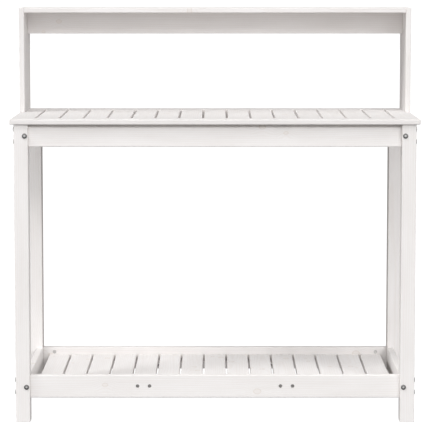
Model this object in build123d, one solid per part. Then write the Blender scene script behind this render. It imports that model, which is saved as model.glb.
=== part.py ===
from build123d import *
import os

# A painted solid wood potting bench: a slatted worktop on four legs, a slatted
# tray shelf near the floor, and a raised shelf with an open back on the worktop.
# Millimetres. Origin on the floor under the middle of the bench. +X is to the
# right of a person who stands at the front, +Y goes from front to back, +Z is up.

# ---- overall size ----
width = 1080.0
depth = 500.0
height = 1095.0
worktop_height = 808.0

# ---- timber sections ----
board_thickness = 14.0
leg_width = 38.0
leg_depth = 44.0
rail_thickness = 18.0
apron_height = 60.0
apron_rebate_height = 7.0
apron_rebate_depth = 9.0
low_rail_height = 62.0
slat_width = 58.0
slat_thickness = 18.0
cleat_side = 20.0
edge_radius = 2.0
rail_edge_radius = 3.0
small_radius = 1.0
end_chamfer = 0.6
nose_radius = 3.0

# ---- frame layout ----
side_overhang = 10.0
front_overhang = 8.0
low_rail_bottom = 63.5
shelf_top = 104.0
shelf_slat_pitch = 63.5
shelf_slats_each_side = 7
tied_slat = 3
shelf_bearer_half = 452.0
top_cleat_half = 440.0

# ---- worktop layout ----
front_board_depth = 55.0
rear_board_depth = 75.0
worktop_pitch = 63.4
worktop_gap = 6.0
inner_slats_each_side = 7

# ---- raised shelf layout ----
hood_depth = 190.0
hood_top_thickness = 13.0
hood_rail_height = 60.0
hood_rail_setback = 113.5

# ---- furniture bolts and barrel nuts ----
bolt_radius = 3.0
bolt_hole_radius = 3.5
bolt_head_radius = 6.75
bolt_head_height = 2.8
bolt_head_edge = 1.8
bolt_socket_flats = 5.0
bolt_socket_depth = 1.8
bolt_tip = 5.5
barrel_radius = 5.0
barrel_length = 13.0
barrel_clearance = 0.15
barrel_inset = 32.0
barrel_slot_width = 1.4
barrel_slot_depth = 1.2
thread_clearance = 0.05
rail_bolt_offset = 16.5

# ---- wood screws ----
screw_radius = 2.0
screw_head_radius = 4.0
screw_head_depth = 2.4
screw_recess_span = 4.4
screw_recess_width = 1.1
screw_recess_depth = 1.5
screw_tip = 4.0
screw_point_radius = 0.3
screw_clearance = 0.1
small_screw_length = 28.0
long_screw_length = 50.0
tie_screw_length = 45.0
tie_screw_offset = 16.0
tie_screw_head_radius = 4.8
tie_screw_recess = 3.0
tie_screw_bore_radius = 5.0
bearer_end_inset = 15.0
bearer_screw_gaps = (0.5, 4.5, 9.5, 13.5)
cleat_screws_each_side = 3
cleat_screw_gaps = (-2.5, -0.5, 0.5, 2.5)
hood_screw_inset = 25.0
hood_rail_screw_inset = 15.0
hood_foot_screw_inset = 6.0

# ---- dowels of the worktop ----
dowel_radius = 3.0
dowel_length = 30.0
dowel_spread = 16.0
dowel_clearance = 0.1
dowel_end_gap = 0.5

# ---- how far a cutting tool reaches past the face that it starts from ----
over_cut = 1.0

# ---- positions worked out from the sizes above ----
half_width = width / 2
half_depth = depth / 2
leg_height = worktop_height - board_thickness
leg_outer_x = half_width - side_overhang
leg_inner_x = leg_outer_x - leg_width
leg_outer_y = half_depth - front_overhang
leg_inner_y = leg_outer_y - leg_depth
leg_centre_y = (leg_outer_y + leg_inner_y) / 2
rail_outer_y = leg_centre_y + rail_thickness / 2
rail_inner_y = leg_centre_y - rail_thickness / 2
side_rail_x = leg_inner_x + rail_thickness / 2
side_rail_outer_x = leg_inner_x + rail_thickness
apron_bottom = leg_height - apron_height
apron_centre = leg_height - apron_height / 2
low_rail_top = low_rail_bottom + low_rail_height
low_rail_centre = low_rail_bottom + low_rail_height / 2
slat_bottom = shelf_top - slat_thickness
slat_middle = shelf_top - slat_thickness / 2
worktop_middle = worktop_height - board_thickness / 2
slot_front_y = front_board_depth - half_depth
slot_rear_y = half_depth - rear_board_depth
hood_front_y = half_depth - hood_depth
hood_inner_x = half_width - board_thickness
hood_board_bottom = height - hood_top_thickness
hood_board_middle = height - hood_top_thickness / 2
hood_rail_front_y = hood_front_y + hood_rail_setback
hood_rail_rear_y = hood_rail_front_y + rail_thickness
hood_rail_middle_y = (hood_rail_front_y + hood_rail_rear_y) / 2
hood_rail_bottom = hood_board_bottom - hood_rail_height

os.makedirs("parts", exist_ok=True)


def save(shape, name):
    export_step(shape, f"parts/{name}.step")


def board(x_range, y_range, z_range, radius, along):
    """A board between three pairs of limits. along names the grain axis: its long
    edges get the radius, and the edges of its ends get a small chamfer."""
    low = Vector(x_range[0], y_range[0], z_range[0])
    high = Vector(x_range[1], y_range[1], z_range[1])
    size = high - low
    centre = (low + high) * 0.5
    solid = Pos(centre.X, centre.Y, centre.Z) * Box(size.X, size.Y, size.Z)
    long_edges = solid.edges().filter_by(along)
    solid = fillet(long_edges, radius)
    ends = solid.faces().sort_by(along)
    end_edges = ends[0].edges() + ends[-1].edges()
    return chamfer(end_edges, end_chamfer)


def rod(radius, start, end):
    """A round bar from start to end."""
    path = Vector(*end) - Vector(*start)
    plane = Plane(origin=start, z_dir=path.normalized())
    return plane * Cylinder(radius, path.length, align=(Align.CENTER, Align.CENTER, Align.MIN))


def facing(point, direction):
    """A plane at point whose normal is direction."""
    return Plane(origin=point, z_dir=direction)


# ---- fasteners, each drawn with its head's outer face at z = 0 and its shank down -z ----
def bolt_shape(length):
    """A furniture bolt. length is under the head."""
    head = Cylinder(bolt_head_radius, bolt_head_height, align=(Align.CENTER, Align.CENTER, Align.MAX))
    head = fillet(head.edges().sort_by(Axis.Z)[-1], bolt_head_edge)
    shank = Pos(0, 0, -bolt_head_height) * Cylinder(
        bolt_radius, length, align=(Align.CENTER, Align.CENTER, Align.MAX))
    shank = chamfer(shank.edges().sort_by(Axis.Z)[0], bolt_radius / 3)
    socket_face = RegularPolygon(bolt_socket_flats / 2, 6, major_radius=False)
    socket = extrude(socket_face, -bolt_socket_depth)
    return head + shank - socket


def barrel_shape():
    """A barrel nut along z with its slotted end at z = 0 and its thread across it along x."""
    body = Cylinder(barrel_radius, barrel_length, align=(Align.CENTER, Align.CENTER, Align.MAX))
    body = chamfer(body.edges().filter_by(GeomType.CIRCLE), barrel_radius / 12)
    slot = Box(2 * barrel_radius + over_cut, barrel_slot_width, 2 * barrel_slot_depth)
    thread = rod(bolt_radius + thread_clearance, (-2 * barrel_radius, 0, -rail_thickness / 2),
                 (2 * barrel_radius, 0, -rail_thickness / 2))
    return body - slot - thread


def screw_shape(length, head_radius):
    """A countersunk wood screw with a cross recess. length is over all."""
    head = Pos(0, 0, -screw_head_depth / 2) * Cone(screw_radius, head_radius, screw_head_depth)
    straight = length - screw_tip - screw_head_depth
    shank = Pos(0, 0, -screw_head_depth - straight / 2) * Cylinder(screw_radius, straight)
    tip = Pos(0, 0, -length + screw_tip / 2) * Cone(screw_point_radius, screw_radius, screw_tip)
    recess = Box(screw_recess_span, screw_recess_width, 2 * screw_recess_depth)
    recess += Box(screw_recess_width, screw_recess_span, 2 * screw_recess_depth)
    return head + shank + tip - recess


def screw_hole(length, head_radius):
    """The space that a screw and its countersink take in the wood."""
    gap = screw_clearance
    head = Pos(0, 0, -screw_head_depth / 2) * Cone(
        screw_radius + gap, head_radius + gap, screw_head_depth)
    shank_length = length - screw_head_depth + gap
    shank = Pos(0, 0, -screw_head_depth - shank_length / 2) * Cylinder(
        screw_radius + gap, shank_length)
    return head + shank


def cut_all(solid, tools):
    """solid without the tools that reach it."""
    box = solid.bounding_box()
    near = []
    for tool in tools:
        other = tool.bounding_box()
        apart_x = other.min.X > box.max.X or other.max.X < box.min.X
        apart_y = other.min.Y > box.max.Y or other.max.Y < box.min.Y
        apart_z = other.min.Z > box.max.Z or other.max.Z < box.min.Z
        if not (apart_x or apart_y or apart_z):
            near.append(tool)
    if not near:
        return solid
    return solid - near


# ---- where the fasteners go ----
def frame_bolts():
    """Head position, direction towards the head, for the bolts of every leg joint."""
    places = []
    for side_x in (-1, 1):
        for side_y in (-1, 1):
            for centre in (low_rail_centre, apron_centre):
                places.append(((side_x * side_rail_x, side_y * leg_outer_y, centre), (0, side_y, 0)))
                for step in (-rail_bolt_offset, rail_bolt_offset):
                    head = (side_x * leg_outer_x, side_y * leg_centre_y, centre + step)
                    places.append((head, (side_x, 0, 0)))
    return places


def bolt_run(direction):
    """Leg thickness that a bolt with this direction passes through."""
    return leg_width if direction[0] else leg_depth


def barrel_place(head, direction):
    """Point on the rail's inner face over the barrel nut of a bolt, and that face's normal."""
    reach = bolt_run(direction) + barrel_inset
    x = head[0] - direction[0] * reach
    y = head[1] - direction[1] * reach
    if direction[0]:
        inward = -1 if head[1] > 0 else 1
        y = head[1] + inward * rail_thickness / 2
        return (x, y, head[2]), (0, inward, 0)
    inward = -1 if head[0] > 0 else 1
    x = head[0] + inward * rail_thickness / 2
    return (x, y, head[2]), (inward, 0, 0)


def slat_x(index, pitch, count_each_side):
    """Centre of slat number index, counted from 0 at the left."""
    return (index - count_each_side) * pitch


def tie_screws():
    """Screws through the front and rear rails into the ends of two shelf slats."""
    places = []
    for side_y in (-1, 1):
        for side_x in (-1, 1):
            for step in (-tie_screw_offset, tie_screw_offset):
                x = side_x * tied_slat * shelf_slat_pitch + step
                head_y = side_y * (rail_outer_y - tie_screw_recess)
                places.append(((x, head_y, slat_middle), (0, side_y, 0)))
    return places


def shelf_screws():
    """Screws up through the shelf bearers, and sideways through them into the rails."""
    places = []
    bearer_y = rail_inner_y - cleat_side / 2
    count = 2 * shelf_slats_each_side + 1
    limit = shelf_bearer_half - bearer_end_inset
    for side_y in (-1, 1):
        for index in range(count):
            x = slat_x(index, shelf_slat_pitch, shelf_slats_each_side)
            x = max(-limit, min(limit, x))
            places.append(((x, side_y * bearer_y, slat_bottom - cleat_side), (0, 0, -1)))
        for index in bearer_screw_gaps:
            x = slat_x(index, shelf_slat_pitch, shelf_slats_each_side)
            face_y = side_y * (rail_inner_y - cleat_side)
            places.append(((x, face_y, slat_bottom - cleat_side / 2), (0, -side_y, 0)))
    return places


def worktop_screws():
    """Screws up through the cleats into the worktop, and sideways into the aprons."""
    places = []
    cleat_y = rail_inner_y - cleat_side / 2
    screw_pitch = 2 * worktop_pitch
    for side_y in (-1, 1):
        for index in range(-cleat_screws_each_side, cleat_screws_each_side + 1):
            x = index * screw_pitch
            places.append(((x, side_y * cleat_y, leg_height - cleat_side), (0, 0, -1)))
        for index in cleat_screw_gaps:
            x = index * screw_pitch
            face_y = side_y * (rail_inner_y - cleat_side)
            places.append(((x, face_y, leg_height - cleat_side / 2), (0, -side_y, 0)))
    return places


def hood_screws():
    """Screws that hold the raised shelf together and down on the worktop."""
    places = []
    front_y = hood_front_y + hood_screw_inset
    board_ys = (front_y, hood_front_y + hood_depth / 2, half_depth - hood_screw_inset)
    foot_x = hood_inner_x + hood_foot_screw_inset
    foot_ys = (front_y, slot_rear_y - hood_screw_inset)
    rail_zs = (hood_rail_bottom + hood_rail_screw_inset, hood_board_bottom - hood_rail_screw_inset)
    for side_x in (-1, 1):
        for y in board_ys:
            places.append(((side_x * half_width, y, hood_board_middle), (side_x, 0, 0)))
        for z in rail_zs:
            places.append(((side_x * half_width, hood_rail_middle_y, z), (side_x, 0, 0)))
        for y in foot_ys:
            places.append(((side_x * foot_x, y, leg_height), (0, 0, -1)))
    return places


def worktop_dowels():
    """Middle of every dowel between a worktop slat's end and a worktop board."""
    places = []
    for x_low, x_high in worktop_slat_limits():
        middle = (x_low + x_high) / 2
        for step in (-dowel_spread, dowel_spread):
            for y in (slot_front_y, slot_rear_y):
                places.append((middle + step, y, worktop_middle))
    return places


def worktop_slat_limits():
    """X limits of the worktop slats from left to right. The two end slats reach the ends."""
    half_slot = worktop_gap / 2
    slots = []
    for index in range(-inner_slats_each_side - 1, inner_slats_each_side + 1):
        slots.append((index + 0.5) * worktop_pitch)
    limits = [(-half_width, slots[0] - half_slot)]
    for left, right in zip(slots, slots[1:]):
        limits.append((left + half_slot, right - half_slot))
    limits.append((slots[-1] + half_slot, half_width))
    return limits


# ---- holes that the fasteners need ----
def bolt_holes():
    tools = []
    for head, direction in frame_bolts():
        reach = bolt_run(direction) + barrel_inset + barrel_radius + bolt_tip + over_cut
        start = Vector(*head) + Vector(*direction)
        end = Vector(*head) - Vector(*direction) * reach
        tools.append(rod(bolt_hole_radius, tuple(start), tuple(end)))
    return tools


def barrel_holes():
    tools = []
    for head, direction in frame_bolts():
        place, normal = barrel_place(head, direction)
        start = Vector(*place) + Vector(*normal)
        end = Vector(*place) - Vector(*normal) * (barrel_length + over_cut)
        tools.append(rod(barrel_radius + barrel_clearance, tuple(start), tuple(end)))
    return tools


def screw_holes(places, length, head_radius=screw_head_radius):
    shape = screw_hole(length, head_radius)
    return [facing(point, direction) * shape for point, direction in places]


def tie_screw_bores():
    """The counterbores that let the heads of the tie screws in below the rail's face."""
    tools = []
    for point, direction in tie_screws():
        mouth = Vector(*point) + Vector(*direction) * (tie_screw_recess + over_cut)
        tools.append(rod(tie_screw_bore_radius, point, tuple(mouth)))
    return tools


def dowel_holes():
    tools = []
    half = dowel_length / 2 + dowel_end_gap
    for x, y, z in worktop_dowels():
        tools.append(rod(dowel_radius + dowel_clearance, (x, y - half, z), (x, y + half, z)))
    return tools


# ---- wooden pieces ----
def make_legs(tools):
    for side_x, x_name in ((-1, "left"), (1, "right")):
        for side_y, y_name in ((-1, "front"), (1, "rear")):
            xs = sorted((side_x * leg_inner_x, side_x * leg_outer_x))
            ys = sorted((side_y * leg_inner_y, side_y * leg_outer_y))
            leg = board(xs, ys, (0, leg_height), edge_radius, Axis.Z)
            save(cut_all(leg, tools), f"leg_{y_name}_{x_name}")


def rail_board(x_range, y_range, z_range, along, outward):
    """A rail between two legs. outward points from the bench, and is None for a rail with
    no rebate. The rebate runs along the top of the outer face, and leaves a dark line
    under the worktop."""
    rail = board(x_range, y_range, z_range, rail_edge_radius, along)
    if outward is None:
        return rail
    box = rail.bounding_box()
    length = box.size.X if along == Axis.X else box.size.Y
    corner = (box.center() + outward * (rail_thickness / 2)) + Vector(0, 0, box.size.Z / 2)
    middle = corner - outward * (apron_rebate_depth / 2) - Vector(0, 0, apron_rebate_height / 2)
    plane = Plane(origin=middle, x_dir=outward, z_dir=(0, 0, 1))
    slot = plane * Box(apron_rebate_depth, length + 2 * over_cut, apron_rebate_height)
    rail = rail - slot
    ledge = middle + outward * (apron_rebate_depth / 2) - Vector(0, 0, apron_rebate_height / 2)
    nearest = rail.edges().filter_by(along).sort_by(lambda edge: (edge.center() - ledge).length)[0]
    return fillet(nearest, edge_radius)


def make_frame_rails(tools):
    levels = (("apron", apron_bottom, leg_height), ("low_rail", low_rail_bottom, low_rail_top))
    for kind, low, high in levels:
        rebated = kind == "apron"
        for side_y, name in ((-1, "front"), (1, "rear")):
            ys = sorted((side_y * rail_inner_y, side_y * rail_outer_y))
            outward = Vector(0, side_y, 0) if rebated else None
            rail = rail_board((-leg_inner_x, leg_inner_x), ys, (low, high), Axis.X, outward)
            save(cut_all(rail, tools), f"{kind}_{name}")
        for side_x, name in ((-1, "left"), (1, "right")):
            xs = sorted((side_x * leg_inner_x, side_x * side_rail_outer_x))
            outward = Vector(side_x, 0, 0) if rebated else None
            rail = rail_board(xs, (-leg_inner_y, leg_inner_y), (low, high), Axis.Y, outward)
            save(cut_all(rail, tools), f"{kind}_{name}")


def make_shelf(tools):
    for index in range(2 * shelf_slats_each_side + 1):
        x = slat_x(index, shelf_slat_pitch, shelf_slats_each_side)
        xs = (x - slat_width / 2, x + slat_width / 2)
        slat = board(xs, (-rail_inner_y, rail_inner_y), (slat_bottom, shelf_top), edge_radius, Axis.Y)
        save(cut_all(slat, tools), f"shelf_slat_{index + 1:02d}")
    for side_y, name in ((-1, "front"), (1, "rear")):
        ys = sorted((side_y * (rail_inner_y - cleat_side), side_y * rail_inner_y))
        zs = (slat_bottom - cleat_side, slat_bottom)
        bearer = board((-shelf_bearer_half, shelf_bearer_half), ys, zs, small_radius, Axis.X)
        save(cut_all(bearer, tools), f"shelf_bearer_{name}")


def make_worktop(tools):
    boards = (("front", -half_depth, slot_front_y), ("rear", slot_rear_y, half_depth))
    for name, low, high in boards:
        piece = Pos(0, (low + high) / 2, worktop_middle) * Box(width, high - low, board_thickness)
        outer = piece.faces().sort_by(Axis.Y)[0 if name == "front" else -1]
        ends = [piece.faces().sort_by(Axis.X)[0], piece.faces().sort_by(Axis.X)[-1]]
        rounded = outer.edges()
        for end in ends:
            rounded += end.edges().filter_by(Axis.Y)
        piece = fillet(rounded, nose_radius)
        save(cut_all(piece, tools), f"worktop_board_{name}")
    limits = worktop_slat_limits()
    for number, (x_low, x_high) in enumerate(limits, start=1):
        length = slot_rear_y - slot_front_y
        middle_y = (slot_front_y + slot_rear_y) / 2
        piece = Pos((x_low + x_high) / 2, middle_y, worktop_middle) * Box(
            x_high - x_low, length, board_thickness)
        for side, outside in ((0, number == 1), (-1, number == len(limits))):
            edges = piece.faces().sort_by(Axis.X)[side].edges().filter_by(Axis.Y)
            piece = fillet(edges, nose_radius if outside else small_radius)
        save(cut_all(piece, tools), f"worktop_slat_{number:02d}")
    for side_y, name in ((-1, "front"), (1, "rear")):
        ys = sorted((side_y * (rail_inner_y - cleat_side), side_y * rail_inner_y))
        zs = (leg_height - cleat_side, leg_height)
        cleat = board((-top_cleat_half, top_cleat_half), ys, zs, small_radius, Axis.X)
        save(cut_all(cleat, tools), f"worktop_cleat_{name}")


def make_hood(tools):
    ys = (hood_front_y, half_depth)
    for side_x, name in ((-1, "left"), (1, "right")):
        xs = sorted((side_x * hood_inner_x, side_x * half_width))
        panel = board(xs, ys, (worktop_height, height), edge_radius, Axis.Z)
        save(cut_all(panel, tools), f"hood_side_{name}")
    xs = (-hood_inner_x, hood_inner_x)
    top = board(xs, ys, (hood_board_bottom, height), edge_radius, Axis.X)
    save(cut_all(top, tools), "hood_top")
    rail_ys = (hood_rail_front_y, hood_rail_rear_y)
    rail = board(xs, rail_ys, (hood_rail_bottom, hood_board_bottom), edge_radius, Axis.X)
    save(cut_all(rail, tools), "hood_back_rail")


# ---- hardware ----
def make_bolts():
    bolts = []
    nuts = []
    for head, direction in frame_bolts():
        length = bolt_run(direction) + barrel_inset + barrel_radius + bolt_tip
        outer = Vector(*head) + Vector(*direction) * bolt_head_height
        bolts.append(facing(tuple(outer), direction) * bolt_shape(length))
        place, normal = barrel_place(head, direction)
        plane = Plane(origin=place, x_dir=direction, z_dir=normal)
        nuts.append(plane * barrel_shape())
    save(Compound(children=bolts), "furniture_bolts")
    save(Compound(children=nuts), "barrel_nuts")


def make_screws(places, length, name, head_radius=screw_head_radius):
    shape = screw_shape(length, head_radius)
    screws = [facing(point, direction) * shape for point, direction in places]
    save(Compound(children=screws), name)


def make_dowels():
    dowels = []
    half = dowel_length / 2
    for x, y, z in worktop_dowels():
        dowel = rod(dowel_radius, (x, y - half, z), (x, y + half, z))
        dowels.append(chamfer(dowel.edges().filter_by(GeomType.CIRCLE), dowel_radius / 4))
    save(Compound(children=dowels), "worktop_dowels")


frame_tools = bolt_holes() + barrel_holes()
tie_tools = screw_holes(tie_screws(), tie_screw_length, tie_screw_head_radius) + tie_screw_bores()
shelf_tools = screw_holes(shelf_screws(), small_screw_length)
worktop_tools = screw_holes(worktop_screws(), small_screw_length)
hood_tools = screw_holes(hood_screws(), long_screw_length)
all_tools = frame_tools + tie_tools + shelf_tools + worktop_tools + hood_tools + dowel_holes()

make_legs(all_tools)
make_frame_rails(all_tools)
make_shelf(all_tools)
make_worktop(all_tools)
make_hood(all_tools)
make_bolts()
make_screws(tie_screws(), tie_screw_length, "tie_screws", tie_screw_head_radius)
make_screws(shelf_screws() + worktop_screws(), small_screw_length, "cleat_screws")
make_screws(hood_screws(), long_screw_length, "hood_screws")
make_dowels()
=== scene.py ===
import math
import random

import bpy
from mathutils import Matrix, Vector


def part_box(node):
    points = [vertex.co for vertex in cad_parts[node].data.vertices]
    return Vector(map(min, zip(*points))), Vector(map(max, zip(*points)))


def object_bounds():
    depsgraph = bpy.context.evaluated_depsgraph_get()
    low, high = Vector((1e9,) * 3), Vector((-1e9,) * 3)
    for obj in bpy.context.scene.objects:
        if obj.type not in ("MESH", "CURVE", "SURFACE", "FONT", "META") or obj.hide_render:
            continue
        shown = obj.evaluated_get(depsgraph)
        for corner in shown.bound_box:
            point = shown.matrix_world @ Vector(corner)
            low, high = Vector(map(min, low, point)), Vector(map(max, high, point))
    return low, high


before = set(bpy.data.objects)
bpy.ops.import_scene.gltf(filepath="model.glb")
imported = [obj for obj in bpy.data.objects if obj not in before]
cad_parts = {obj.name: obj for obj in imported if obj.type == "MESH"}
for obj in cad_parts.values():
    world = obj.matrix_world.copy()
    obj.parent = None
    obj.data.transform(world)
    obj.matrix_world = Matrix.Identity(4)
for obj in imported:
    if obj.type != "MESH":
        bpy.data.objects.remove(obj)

cad_low, cad_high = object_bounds()

SEED = 11

# ---- camera: a long lens a little above the bench, tipped down, as in a catalogue picture ----
CAMERA_DISTANCE = 5.6726
CAMERA_HEIGHT = 1.1785
CAMERA_PITCH = math.radians(5.693)
CAMERA_LENS = 181.37
CAMERA_SHIFT = -0.05
CAMERA_SENSOR = 36.0
CAMERA_REACH = 100.0

# ---- studio light: name, azimuth from the front (+ is right), elevation, spread, strength ----
LIGHTS = (
    ("key_left", -60.0, 50.0, 14.0, 1.06),
    ("soft_front", 0.0, 30.0, 70.0, 1.55),
    ("side_left", -90.0, 25.0, 16.0, 0.60),
    ("side_right", 90.0, 15.0, 24.0, 0.25),
    ("front_right", 30.0, 25.0, 16.0, 0.45),
    ("edge_right", 37.0, 19.0, 4.0, 0.17),
    ("rear", 180.0, 35.0, 16.0, 0.25),
    ("soft_rear", 180.0, 60.0, 70.0, 0.21),
)
SKY_LIGHT = 0.26
FLOOR_LIGHT = 0.37
BACKDROP = 1.05

# ---- the floor: its glow, for the camera, hides nearly all of the bench's shadow ----
FLOOR_GLOW = 0.97
FLOOR_LOW = (0.15, 0.15, 0.15, 1)
FLOOR_HIGH = (0.16, 0.16, 0.16, 1)
FLOOR_CLOUD_SCALE = 3.0
FLOOR_REACH = 30.0
FLOOR_DROP = 0.0004

# ---- painted pine: linear colours ----
PAINT_LOW = (0.847, 0.821, 0.808, 1)
PAINT_HIGH = (0.887, 0.865, 0.857, 1)
LATE_WOOD = (0.745, 0.680, 0.630, 1)
STREAK = (0.770, 0.715, 0.680, 1)
KNOT_BODY = (0.700, 0.600, 0.510, 1)
KNOT_RIM = (0.560, 0.460, 0.370, 1)
WORN_EDGE = (0.740, 0.665, 0.600, 1)
END_GRAIN = (0.660, 0.600, 0.540, 1)

# ---- painted pine: how much of each colour shows through ----
LATE_SHARE = 0.17
STREAK_SHARE = 0.16
FIBRE_SHARE = 0.12
SAW_SHARE = 0.30
KNOT_SHARE = 0.14
KNOT_RIM_SHARE = 0.24
WORN_SHARE = 0.24
END_GRAIN_SHARE = 0.08
END_RING_SHARE = 0.25

# ---- painted pine: how fast each texture changes along, across and through a board ----
WANDER_STRETCH = (1.6, 9.0, 9.0)
FIBRE_STRETCH = (26.0, 900.0, 900.0)
STREAK_STRETCH = (5.0, 170.0, 170.0)
PORE_STRETCH = (110.0, 1900.0, 1900.0)
CLOUD_STRETCH = (5.0, 20.0, 20.0)
STIPPLE_SCALE = 700.0

# ---- painted pine: growth rings, saw marks, and how far they wander ----
RINGS_PER_METRE = 190.0
RING_WANDER = 0.030
SAW_PITCH = 0.0034
SAW_WANDER = 0.004

# ---- painted pine: over what part of its range each texture comes in or goes out ----
CLOUD_SPAN = (0.25, 0.75)
STREAK_SPAN = (0.45, 0.78)
FIBRE_SPAN = (0.5, 0.8)
SAW_SPAN = (-1.0, 1.0)
SAW_STREAK_SPAN = (0.30, 0.60)
LATE_RISE = (0.35, 0.90)
LATE_FALL = (0.92, 1.0)

# ---- painted pine: worn edges and end grain, as distances from the edge or the end ----
WORN_SPAN = (0.0008, 0.0024)
WORN_RAGGED = 0.0022
END_SPAN = (0.0002, 0.0012)

# ---- painted pine: relief, roughness and gloss ----
LATE_RELIEF = -0.40
FIBRE_RELIEF = 0.45
STREAK_RELIEF = 0.35
PORE_RELIEF = 0.25
STIPPLE_RELIEF = 0.15
KNOT_RELIEF = -0.7
SAW_RELIEF = 2.0
RELIEF_DEPTH = 0.00018
RELIEF_STRENGTH = 0.75
PAINT_ROUGHNESS = 0.62
CLOUD_ROUGHNESS = 0.16
GRAIN_ROUGHNESS = 0.07
PAINT_GLOSS = 0.22

# ---- knots: spans are in knot radii from the middle ----
KNOT_STRETCH = 0.7
KNOT_RAGGED = 0.30
KNOT_RAGGED_SCALE = 260.0
KNOT_EDGE = (0.95, 1.20)
KNOT_RIM_SPAN = (0.70, 1.05)
KNOT_PULL_SPAN = (0.8, 4.5)
KNOT_PULL = 0.009
KNOT_RADIUS = (0.003, 0.0085)
KNOTS_EACH = 2
# the knots that stand out, as points of the whole bench with a radius
KNOTS = {
    "apron_front": (((0.125, -0.229, 0.787), 0.007), ((0.187, -0.229, 0.771), 0.005)),
    "hood_back_rail": (((-0.438, 0.173, 1.056), 0.006), ((-0.481, 0.173, 1.027), 0.004)),
    "low_rail_front": (((-0.293, -0.229, 0.098), 0.006),),
    "hood_top": (((-0.070, 0.060, 1.088), 0.005),),
}

# ---- boards: how light each is, which are sawn, and how differently each may have grown ----
PLAIN_TONE = (0.985, 1.01)
TONE_RANGE = {
    "worktop_slat": (0.95, 0.975),
    "leg": (1.0, 1.02),
    "shelf_slat": (1.0, 1.02),
    "low_rail": (1.03, 1.05),
}
# tones of single boards: besides the paint's own tone they hold painted light and shade, each board
# made lighter or darker to match how lit it looks
BOARD_TONES_WITH_PAINTED_LIGHT = {
    "apron_front": 1.075,
    "low_rail_front": 1.02,
    "low_rail_rear": 0.91,
    "worktop_board_front": 0.97,
    "hood_top": 0.975,
    "hood_side_left": 0.955,
    "hood_side_right": 0.985,
    "leg_rear_right": 1.04,
}
SAWN_BOARDS = ("worktop_cleat_front", "worktop_cleat_rear", "shelf_bearer_front", "shelf_bearer_rear")
GROWTH_SHIFT = 40.0
PITH_DISTANCE = (0.015, 0.07)

# ---- painted shade, for places where little light gets in ----
PAINTED_SHADE_COLOUR = (0.200, 0.170, 0.150, 1)
# painted shade: the rebate of an apron darkens by this share, between these depths below the apron's
# top
REBATE_PAINTED_SHADE_SHARE = 0.6
REBATE_PAINTED_SHADE_SPAN = (0.0042, 0.0028)
# board: how much painted shade darkens its face towards the middle of the bench, and up to what
# height
INNER_PAINTED_SHADE = {
    "low_rail_left": (0.25, 0.095),
    "low_rail_right": (0.80, 0.095),
    "apron_rear": (0.70, 0.810),
    "leg_rear_left": (0.42, 0.810),
    "leg_rear_right": (0.42, 0.810),
}
# height over which that painted shade fades out at its top, and how far behind the face it ends
INNER_FADE = 0.013
INNER_FACE_SPAN = (0.0005, 0.0015)

# ---- plated steel: dark and light colour and roughness, and how much painted shade darkens the rims ----
STEELS = {
    "zinc_plate": ((0.86, 0.85, 0.84, 1), (0.97, 0.96, 0.95, 1), 0.40),
    "bright_zinc": ((0.56, 0.55, 0.54, 1), (0.70, 0.69, 0.68, 1), 0.50),
    "dark_plate": ((0.26, 0.25, 0.24, 1), (0.42, 0.41, 0.40, 1), 0.38),
}
RIM_PAINTED_SHADE = {"bright_zinc": 0.1, "dark_plate": 0.3}
STEEL_OF = {
    "furniture_bolts": "zinc_plate",
    "barrel_nuts": "bright_zinc",
    "tie_screws": "dark_plate",
    "cleat_screws": "dark_plate",
    "hood_screws": "dark_plate",
}
SPANGLE_SCALE = 420.0
SPANGLE_SPAN = (0.35, 0.7)
SCRATCH_STRETCH = (900.0, 900.0, 6000.0)
SCRATCH_ROUGHNESS = 0.16
STEEL_RELIEF_DEPTH = 0.00004
STEEL_RELIEF_STRENGTH = 0.5

# ---- how squarely a steel surface faces outwards where its rounded rim gives way to its face ----
SQUARE_ON = (0.90, 0.99)

# ---- bolt heads: brightness of each part (painted shade on the rim, a painted highlight in the socket), and painted shade that changes with height on the head ----
BOLT_RIM_PAINTED_SHADE = 0.20
BOLT_FACE = 0.28
BOLT_SOCKET_PAINTED_HIGHLIGHT = 0.88
SOCKET_DEPTH_SPAN = (0.0010, 0.0016)
BOLT_PAINTED_SHADE_SPAN = (-0.005, 0.002)
BOLT_PAINTED_SHADE_FADE = (0.52, 1.08)
# height from the middle bolt of a joint to the one above it and the one below it
BOLT_STEP = 0.0165

# ---- dowels: bare beech ----
BEECH_DARK = (0.50, 0.33, 0.19, 1)
BEECH_LIGHT = (0.66, 0.48, 0.31, 1)
FLECK_STRETCH = (900.0, 120.0, 900.0)
BEECH_ROUGHNESS = (0.55, 0.75)
BEECH_RELIEF_DEPTH = 0.0001
BEECH_RELIEF_STRENGTH = 0.5


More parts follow.
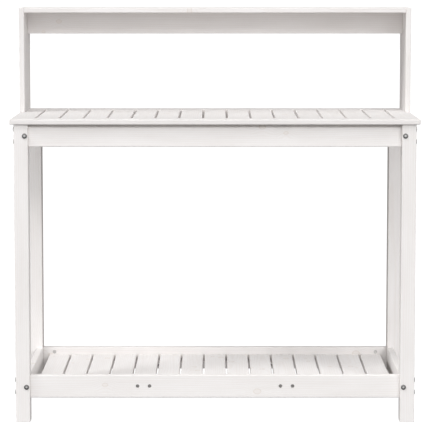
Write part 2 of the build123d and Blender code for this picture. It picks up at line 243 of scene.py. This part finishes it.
class Nodes:
    """Short calls for building a node tree."""

    def __init__(self, tree):
        self.tree = tree

    def add(self, kind, **settings):
        node = self.tree.nodes.new(kind)
        for name, value in settings.items():
            setattr(node, name, value)
        return node

    def put(self, value, socket):
        """Links value to socket, or sets it where value is a constant."""
        if isinstance(value, bpy.types.NodeSocket):
            self.tree.links.new(value, socket)
        elif value is not None:
            socket.default_value = value

    def math(self, operation, a, b=None, c=None):
        node = self.add("ShaderNodeMath", operation=operation)
        for value, socket in zip((a, b, c), node.inputs):
            self.put(value, socket)
        return node.outputs[0]

    def vector(self, operation, a, b=None, scale=None):
        node = self.add("ShaderNodeVectorMath", operation=operation)
        self.put(a, node.inputs[0])
        self.put(b, node.inputs[1])
        if scale is not None:
            self.put(scale, node.inputs["Scale"])
        return node.outputs["Value" if operation == "LENGTH" else "Vector"]

    def combine(self, x, y, z):
        node = self.add("ShaderNodeCombineXYZ")
        for value, socket in zip((x, y, z), node.inputs):
            self.put(value, socket)
        return node.outputs[0]

    def split(self, vector):
        node = self.add("ShaderNodeSeparateXYZ")
        self.put(vector, node.inputs[0])
        return node.outputs

    def noise(self, vector, scale, detail, roughness=0.5):
        node = self.add("ShaderNodeTexNoise")
        self.put(vector, node.inputs["Vector"])
        node.inputs["Scale"].default_value = scale
        node.inputs["Detail"].default_value = detail
        node.inputs["Roughness"].default_value = roughness
        return node.outputs["Fac"]

    def grain(self, place, stretch, detail, roughness):
        """Noise that changes at its own pace along each axis."""
        return self.noise(self.vector("MULTIPLY", place, stretch), 1.0, detail, roughness)

    def ramp(self, value, low, high, to_low, to_high):
        """A smooth change from to_low at low to to_high at high."""
        node = self.add("ShaderNodeMapRange", interpolation_type="SMOOTHSTEP")
        for item, socket in zip((value, low, high, to_low, to_high), node.inputs):
            self.put(item, socket)
        return node.outputs[0]

    def rise(self, value, span):
        """0 below span, 1 above it, and smooth between."""
        return self.ramp(value, span[0], span[1], 0.0, 1.0)

    def fall(self, value, span):
        """1 below span, 0 above it, and smooth between."""
        return self.ramp(value, span[0], span[1], 1.0, 0.0)

    def mix(self, share, a, b):
        node = self.add("ShaderNodeMix", data_type="RGBA")
        for value, name in ((share, "Factor"), (a, "A"), (b, "B")):
            socket = next(s for s in node.inputs if s.name == name and s.enabled)
            self.put(value, socket)
        return next(s for s in node.outputs if s.enabled)

    def tint(self, paint, mask, share, colour):
        """Paint with a share of colour over it where mask is 1."""
        return self.mix(self.math("MULTIPLY", mask, share), paint, colour)

    def bump(self, height, distance, strength):
        node = self.add("ShaderNodeBump")
        self.put(height, node.inputs["Height"])
        node.inputs["Distance"].default_value = distance
        node.inputs["Strength"].default_value = strength
        return node.outputs[0]

    def place(self):
        """The shaded point, in metres in the bench's own frame."""
        return self.add("ShaderNodeTexCoord").outputs["Object"]

    def facing(self):
        """How squarely the surface faces along x, y and z."""
        normal = self.add("ShaderNodeNewGeometry").outputs["True Normal"]
        return self.split(self.vector("ABSOLUTE", normal))


def make_camera():
    data = bpy.data.cameras.new("photo_camera")
    data.lens = CAMERA_LENS
    data.sensor_width = CAMERA_SENSOR
    data.shift_y = CAMERA_SHIFT
    data.clip_end = CAMERA_REACH
    camera = bpy.data.objects.new("photo_camera", data)
    camera.location = (0.0, cad_low.y - CAMERA_DISTANCE, CAMERA_HEIGHT)
    camera.rotation_euler = (math.pi / 2 - CAMERA_PITCH, 0.0, 0.0)
    bpy.context.scene.collection.objects.link(camera)
    bpy.context.scene.camera = camera


def make_lights():
    for name, azimuth, elevation, spread, strength in LIGHTS:
        data = bpy.data.lights.new(name, "SUN")
        data.angle = math.radians(spread)
        data.energy = strength
        lamp = bpy.data.objects.new(name, data)
        a, e = math.radians(azimuth), math.radians(elevation)
        away = Vector((math.sin(a) * math.cos(e), -math.cos(a) * math.cos(e), math.sin(e)))
        lamp.rotation_euler = away.to_track_quat("Z", "Y").to_euler()
        bpy.context.scene.collection.objects.link(lamp)


def empty_tree(owner):
    """Turns on the owner's nodes, empties them, and gives the calls for building them."""
    owner.use_nodes = True
    owner.node_tree.nodes.clear()
    return Nodes(owner.node_tree)


def seen_or_lit(n, seen, lit):
    """One shader for the camera and another for the light that falls on the bench."""
    choose = n.add("ShaderNodeMixShader")
    n.put(n.add("ShaderNodeLightPath").outputs["Is Camera Ray"], choose.inputs[0])
    n.put(lit, choose.inputs[1])
    n.put(seen, choose.inputs[2])
    return choose.outputs[0]


def glow(n, kind, strength):
    node = n.add(kind)
    node.inputs["Color"].default_value = (1.0, 1.0, 1.0, 1.0)
    node.inputs["Strength"].default_value = strength
    return node.outputs[0]


def make_world():
    """A white backdrop for the camera, and an even light from all round on the bench."""
    world = bpy.data.worlds.new("studio")
    bpy.context.scene.world = world
    n = empty_tree(world)
    backdrop = glow(n, "ShaderNodeBackground", BACKDROP)
    sky = glow(n, "ShaderNodeBackground", SKY_LIGHT)
    out = n.add("ShaderNodeOutputWorld")
    n.put(seen_or_lit(n, backdrop, sky), out.inputs["Surface"])


def make_floor():
    """A wide pale floor. To the camera it glows so brightly that only a trace of shadow shows,
    and to the bench it's an even light from below."""
    mesh = bpy.data.meshes.new("studio_floor")
    corners = [(-FLOOR_REACH, -FLOOR_REACH), (FLOOR_REACH, -FLOOR_REACH),
               (FLOOR_REACH, FLOOR_REACH), (-FLOOR_REACH, FLOOR_REACH)]
    mesh.from_pydata([(x, y, -FLOOR_DROP) for x, y in corners], [], [(0, 1, 2, 3)])
    floor = bpy.data.objects.new("studio_floor", mesh)
    bpy.context.scene.collection.objects.link(floor)
    material = bpy.data.materials.new("studio_floor")
    n = empty_tree(material)
    pale = n.add("ShaderNodeBsdfDiffuse")
    cloud = n.noise(n.place(), FLOOR_CLOUD_SCALE, detail=4.0)
    n.put(n.mix(cloud, FLOOR_LOW, FLOOR_HIGH), pale.inputs["Color"])
    bright = n.add("ShaderNodeAddShader")
    n.put(pale.outputs[0], bright.inputs[0])
    n.put(glow(n, "ShaderNodeEmission", FLOOR_GLOW), bright.inputs[1])
    lit = glow(n, "ShaderNodeEmission", FLOOR_LIGHT)
    out = n.add("ShaderNodeOutputMaterial")
    n.put(seen_or_lit(n, bright.outputs[0], lit), out.inputs["Surface"])
    mesh.materials.append(material)


def new_material(name):
    material = bpy.data.materials.new(name)
    n = empty_tree(material)
    shader = n.add("ShaderNodeBsdfPrincipled")
    out = n.add("ShaderNodeOutputMaterial")
    n.put(shader.outputs[0], out.inputs["Surface"])
    return material, n, shader


def knot_share(n, place, knot):
    """How much of a knot is at place, how much of its dark rim, and how far it pulls the rings.
    knot holds the place along and across the board, and the knot's radius."""
    along, across, radius = n.split(knot)
    place_u, place_v, _ = n.split(place)
    offset = n.combine(
        n.math("MULTIPLY", n.math("SUBTRACT", place_u, along), KNOT_STRETCH),
        n.math("SUBTRACT", place_v, across),
        0.0,
    )
    ragged = n.math("MULTIPLY", n.noise(place, KNOT_RAGGED_SCALE, detail=2.0), KNOT_RAGGED)
    away = n.math("ADD", n.math("DIVIDE", n.vector("LENGTH", offset), radius), ragged)
    body = n.fall(away, KNOT_EDGE)
    rim = n.math("MULTIPLY", body, n.rise(away, KNOT_RIM_SPAN))
    return body, rim, n.fall(away, KNOT_PULL_SPAN)


def edge_distance(n, face_u, face_v, face_w):
    """Distance to the nearest edge: the middle one of the distances to the pairs of faces."""
    low_uv = n.math("MINIMUM", face_u, face_v)
    high_uv = n.math("MAXIMUM", face_u, face_v)
    return n.math("MAXIMUM", low_uv, n.math("MINIMUM", high_uv, face_w))


def late_wood(n, place, pith, wander, pull):
    """The dark part of the growth rings round the pith. They wander along the board, and the
    knots push them aside."""
    from_pith = n.vector("ADD", n.vector("MULTIPLY", place, (0.0, 1.0, 1.0)), pith)
    radius = n.vector("LENGTH", from_pith)
    radius = n.math("ADD", radius, n.math("MULTIPLY", wander, RING_WANDER))
    radius = n.math("ADD", radius, n.math("MULTIPLY", pull, KNOT_PULL))
    rings = n.math("FRACT", n.math("MULTIPLY", radius, RINGS_PER_METRE))
    return n.math("MULTIPLY", n.rise(rings, LATE_RISE), n.fall(rings, LATE_FALL))


def saw_marks(n, place, wander, streaks):
    """Marks that a saw leaves across a board that isn't planed."""
    along = n.split(place)[0]
    along = n.math("ADD", along, n.math("MULTIPLY", wander, SAW_WANDER))
    swing = n.math("MULTIPLY", along, 2 * math.pi / SAW_PITCH)
    marks = n.rise(n.math("SINE", swing), SAW_SPAN)
    return n.math("MULTIPLY", marks, n.rise(streaks, SAW_STREAK_SPAN))


def timber_group():
    """The painted timber look in one group. Place is a point from the board's centre in the
    board's own axes: along the grain, across, and through. Half is half the board's size."""
    group = bpy.data.node_groups.new("painted_timber", "ShaderNodeTree")
    sockets = (
        ("INPUT", "NodeSocketVector", ("Place", "Half", "Shift", "Pith", "Knot A", "Knot B")),
        ("INPUT", "NodeSocketFloat", ("Tone", "Sawn")),
        ("OUTPUT", "NodeSocketColor", ("Color",)),
        ("OUTPUT", "NodeSocketFloat", ("Roughness",)),
        ("OUTPUT", "NodeSocketVector", ("Normal",)),
    )
    for direction, kind, names in sockets:
        for name in names:
            group.interface.new_socket(name, in_out=direction, socket_type=kind)
    n = Nodes(group)
    given = n.add("NodeGroupInput").outputs
    place = given["Place"]

    to_face = n.vector("SUBTRACT", given["Half"], n.vector("ABSOLUTE", place))
    face_u, face_v, face_w = n.split(to_face)
    edge = edge_distance(n, face_u, face_v, face_w)
    end_face = n.fall(face_u, END_SPAN)

    body_a, rim_a, pull_a = knot_share(n, place, given["Knot A"])
    body_b, rim_b, pull_b = knot_share(n, place, given["Knot B"])
    knot = n.math("MAXIMUM", body_a, body_b)
    rim = n.math("MAXIMUM", rim_a, rim_b)
    pull = n.math("ADD", pull_a, pull_b)

    grown = n.vector("ADD", place, given["Shift"])
    wander = n.grain(grown, WANDER_STRETCH, detail=2.0, roughness=0.5)
    late = late_wood(n, place, given["Pith"], wander, pull)
    fibres = n.grain(grown, FIBRE_STRETCH, detail=3.0, roughness=0.6)
    streaks = n.grain(grown, STREAK_STRETCH, detail=3.0, roughness=0.55)
    pores = n.grain(grown, PORE_STRETCH, detail=2.0, roughness=0.5)
    cloud = n.grain(grown, CLOUD_STRETCH, detail=4.0, roughness=0.55)
    stipple = n.noise(grown, STIPPLE_SCALE, detail=2.0)
    sawn = n.math("MULTIPLY", saw_marks(n, place, wander, streaks), given["Sawn"])

    # colour: the paint, what shows through it, and where it's thin
    paint = n.mix(n.rise(cloud, CLOUD_SPAN), PAINT_LOW, PAINT_HIGH)
    paint = n.tint(paint, late, LATE_SHARE, LATE_WOOD)
    paint = n.tint(paint, n.rise(streaks, STREAK_SPAN), STREAK_SHARE, STREAK)
    paint = n.tint(paint, n.rise(fibres, FIBRE_SPAN), FIBRE_SHARE, STREAK)
    paint = n.tint(paint, sawn, SAW_SHARE, STREAK)
    paint = n.tint(paint, knot, KNOT_SHARE, KNOT_BODY)
    paint = n.tint(paint, rim, KNOT_RIM_SHARE, KNOT_RIM)
    worn = n.fall(n.math("ADD", edge, n.math("MULTIPLY", fibres, WORN_RAGGED)), WORN_SPAN)
    paint = n.tint(paint, worn, WORN_SHARE, WORN_EDGE)
    end_share = n.math("ADD", END_GRAIN_SHARE, n.math("MULTIPLY", late, END_RING_SHARE))
    paint = n.tint(paint, end_face, end_share, END_GRAIN)
    paint = n.vector("SCALE", paint, scale=given["Tone"])

    height = n.math("MULTIPLY", late, LATE_RELIEF)
    for texture, share in (
        (fibres, FIBRE_RELIEF),
        (streaks, STREAK_RELIEF),
        (pores, PORE_RELIEF),
        (stipple, STIPPLE_RELIEF),
        (rim, KNOT_RELIEF),
        (sawn, SAW_RELIEF),
    ):
        height = n.math("ADD", height, n.math("MULTIPLY", texture, share))

    rough = n.math("ADD", PAINT_ROUGHNESS, n.math("MULTIPLY", cloud, CLOUD_ROUGHNESS))
    grainy = n.math("ADD", late, end_face)
    rough = n.math("ADD", rough, n.math("MULTIPLY", grainy, GRAIN_ROUGHNESS))

    out = n.add("NodeGroupOutput").inputs
    n.put(paint, out["Color"])
    n.put(rough, out["Roughness"])
    n.put(n.bump(height, RELIEF_DEPTH, RELIEF_STRENGTH), out["Normal"])
    return group


def knots_of(node, order, centre, size, rng):
    """Two knots for a board, as places along and across it with a radius. The chosen ones come
    first, as (x, y, z) points of the whole bench, and the others fall anywhere."""
    knots = []
    for point, radius in KNOTS.get(node, ()):
        away = Vector(point) - centre
        knots.append((away[order[0]], away[order[1]], radius))
    while len(knots) < KNOTS_EACH:
        along = rng.uniform(-0.5, 0.5) * size[order[0]]
        across = rng.uniform(-0.5, 0.5) * size[order[1]]
        knots.append((along, across, rng.uniform(*KNOT_RADIUS)))
    return knots


def tone_of(node, rng):
    """How light a board's paint is. Boards cut from one piece of stock are nearly the same. The
    listed board tones hold painted light and shade as well.
    """
    kind = next((name for name in TONE_RANGE if node.startswith(name)), None)
    tone = rng.uniform(*TONE_RANGE.get(kind, PLAIN_TONE))
    return BOARD_TONES_WITH_PAINTED_LIGHT.get(node, tone)


def paint_shade_in_apron_rebate(n, paint, place, top):
    """Darkens the upper part of an apron's rebate, right under the worktop, with painted shade."""
    painted_shade_mask = n.rise(n.split(place)[2], [top - depth for depth in REBATE_PAINTED_SHADE_SPAN])
    return n.tint(paint, painted_shade_mask, REBATE_PAINTED_SHADE_SHARE, PAINTED_SHADE_COLOUR)


def paint_shade_on_inner_face(n, paint, place, node, thin, inner_face):
    """Darkens the board's face towards the middle of the bench with painted shade. thin is the axis
    that the face is square to, and inner_face its distance from the middle."""
    share, top = INNER_PAINTED_SHADE[node]
    away = n.split(n.vector("ABSOLUTE", place))
    painted_shade_mask = n.fall(away[thin], [inner_face + step for step in INNER_FACE_SPAN])
    painted_shade_mask = n.math("MULTIPLY", painted_shade_mask, n.fall(away[2], (top - INNER_FADE, top)))
    return n.tint(paint, painted_shade_mask, share, PAINTED_SHADE_COLOUR)


def timber_material(node, timber, rng):
    """The paint of one board: the shared group, with the board's own place, growth and knots."""
    low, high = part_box(node)
    size = high - low
    centre = (low + high) / 2
    order = sorted(range(3), key=lambda axis: -size[axis])
    material, n, shader = new_material("paint_" + node)
    place = n.place()
    parts = n.split(n.vector("SUBTRACT", place, tuple(centre)))
    group = n.add("ShaderNodeGroup", node_tree=timber)
    n.put(n.combine(*(parts[axis] for axis in order)), group.inputs["Place"])
    group.inputs["Half"].default_value = [size[axis] / 2 for axis in order]
    group.inputs["Shift"].default_value = [rng.uniform(0.0, GROWTH_SHIFT) for _ in range(3)]
    angle = rng.uniform(0.0, 2 * math.pi)
    away = rng.uniform(*PITH_DISTANCE)
    group.inputs["Pith"].default_value = (0.0, away * math.cos(angle), away * math.sin(angle))
    for name, knot in zip(("Knot A", "Knot B"), knots_of(node, order, centre, size, rng)):
        group.inputs[name].default_value = knot
    group.inputs["Tone"].default_value = tone_of(node, rng)
    group.inputs["Sawn"].default_value = 1.0 if node in SAWN_BOARDS else 0.0
    paint = group.outputs["Color"]
    # painted shade in the apron's rebate, under the worktop
    if node.startswith("apron_"):
        paint = paint_shade_in_apron_rebate(n, paint, place, high.z)
    # painted shade on the face towards the middle of the bench
    if node in INNER_PAINTED_SHADE:
        thin = order[2]
        inner_face = min(abs(low[thin]), abs(high[thin]))
        paint = paint_shade_on_inner_face(n, paint, place, node, thin, inner_face)
    n.put(paint, shader.inputs["Base Color"])
    n.put(group.outputs["Roughness"], shader.inputs["Roughness"])
    n.put(group.outputs["Normal"], shader.inputs["Normal"])
    shader.inputs["Specular IOR Level"].default_value = PAINT_GLOSS
    return material


def rim_painted_shade(n, rim_share):
    """1 on the flat faces of screws and nuts, and rim_share less on their rounded rims, as painted
    shade.
    """
    facing = n.facing()
    square = n.math("MAXIMUM", facing[0], facing[1])
    return n.ramp(square, *SQUARE_ON, 1.0 - rim_share, 1.0)


def bolt_levels():
    """Heights of the bolts: three at each joint of a leg and its rails."""
    for rail in ("apron_front", "low_rail_front"):
        low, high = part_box(rail)
        for step in (-BOLT_STEP, 0.0, BOLT_STEP):
            yield (low.z + high.z) / 2 + step


def above_bolt(n, place):
    """Height of place above the middle of the bolt head it's on."""
    above = 0.0
    for level in bolt_levels():
        apart = n.math("SUBTRACT", n.split(place)[2], level)
        near = n.math("LESS_THAN", n.math("ABSOLUTE", apart), BOLT_STEP / 2)
        above = n.math("MULTIPLY_ADD", apart, near, above)
    return above


def bolt_painted_light(n, place):
    """Bolt heads: painted shade on the rounded rim, dull on the outer face, a painted highlight in
    the socket, and painted shade towards the bottom of each head."""
    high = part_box("furniture_bolts")[1]
    x, y, _ = n.split(n.vector("ABSOLUTE", place))
    depth_x = n.math("SUBTRACT", high.x, x)
    depth_y = n.math("SUBTRACT", high.y, y)
    runs_in_y = n.math("LESS_THAN", depth_y, depth_x)
    facing = n.facing()
    turned = n.math("SUBTRACT", facing[1], facing[0])
    flat = n.rise(n.math("MULTIPLY_ADD", runs_in_y, turned, facing[0]), SQUARE_ON)
    depth = n.math("MINIMUM", depth_x, depth_y)
    floor = n.math("MULTIPLY", flat, n.rise(depth, SOCKET_DEPTH_SPAN))
    # painted shade on the rim and a painted highlight on the socket floor
    painted_light_scale = n.math("MULTIPLY_ADD", flat, BOLT_FACE - BOLT_RIM_PAINTED_SHADE, BOLT_RIM_PAINTED_SHADE)
    painted_light_scale = n.math("MULTIPLY_ADD", floor, BOLT_SOCKET_PAINTED_HIGHLIGHT - BOLT_FACE, painted_light_scale)
    # painted shade, darker towards the bottom of each head
    painted_shade_fade = n.ramp(above_bolt(n, place), *BOLT_PAINTED_SHADE_SPAN, *BOLT_PAINTED_SHADE_FADE)
    return n.math("MULTIPLY", painted_light_scale, painted_shade_fade)


def steel_material(name):
    """Plated steel: mottled grey with fine scratches. Screws and nuts have painted shade on their
    rims, and the bolt heads have painted shade and a painted highlight of their own."""
    dark, light, roughness = STEELS[name]
    material, n, shader = new_material(name)
    place = n.place()
    spangle = n.noise(place, SPANGLE_SCALE, detail=4.0, roughness=0.6)
    scratch = n.grain(place, SCRATCH_STRETCH, detail=2.0, roughness=0.6)
    plate = n.mix(n.rise(spangle, SPANGLE_SPAN), dark, light)
    # painted shade on the rims, or the bolt heads' painted shade and painted highlight
    painted_light_scale = rim_painted_shade(n, RIM_PAINTED_SHADE[name]) if name in RIM_PAINTED_SHADE else bolt_painted_light(n, place)
    n.put(n.vector("SCALE", plate, scale=painted_light_scale), shader.inputs["Base Color"])
    rough = n.math("ADD", roughness, n.math("MULTIPLY", scratch, SCRATCH_ROUGHNESS))
    n.put(rough, shader.inputs["Roughness"])
    relief = n.math("ADD", spangle, scratch)
    n.put(n.bump(relief, STEEL_RELIEF_DEPTH, STEEL_RELIEF_STRENGTH), shader.inputs["Normal"])
    shader.inputs["Metallic"].default_value = 1.0
    return material


def dowel_material():
    """Bare beech with short flecks along the dowel."""
    material, n, shader = new_material("bare_beech")
    fleck = n.grain(n.place(), FLECK_STRETCH, detail=3.0, roughness=0.6)
    n.put(n.mix(fleck, BEECH_DARK, BEECH_LIGHT), shader.inputs["Base Color"])
    n.put(n.ramp(fleck, 0.0, 1.0, *BEECH_ROUGHNESS), shader.inputs["Roughness"])
    n.put(n.bump(fleck, BEECH_RELIEF_DEPTH, BEECH_RELIEF_STRENGTH), shader.inputs["Normal"])
    return material


def finish_cad_nodes():
    """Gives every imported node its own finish."""
    rng = random.Random(SEED)
    timber = timber_group()
    steels = {name: steel_material(name) for name in STEELS}
    for node in sorted(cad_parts):
        if node in STEEL_OF:
            material = steels[STEEL_OF[node]]
        elif node == "worktop_dowels":
            material = dowel_material()
        else:
            material = timber_material(node, timber, rng)
        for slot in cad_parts[node].material_slots:
            slot.material = material


bpy.context.scene.view_settings.view_transform = "Standard"
make_camera()
make_world()
make_lights()
make_floor()
finish_cad_nodes()
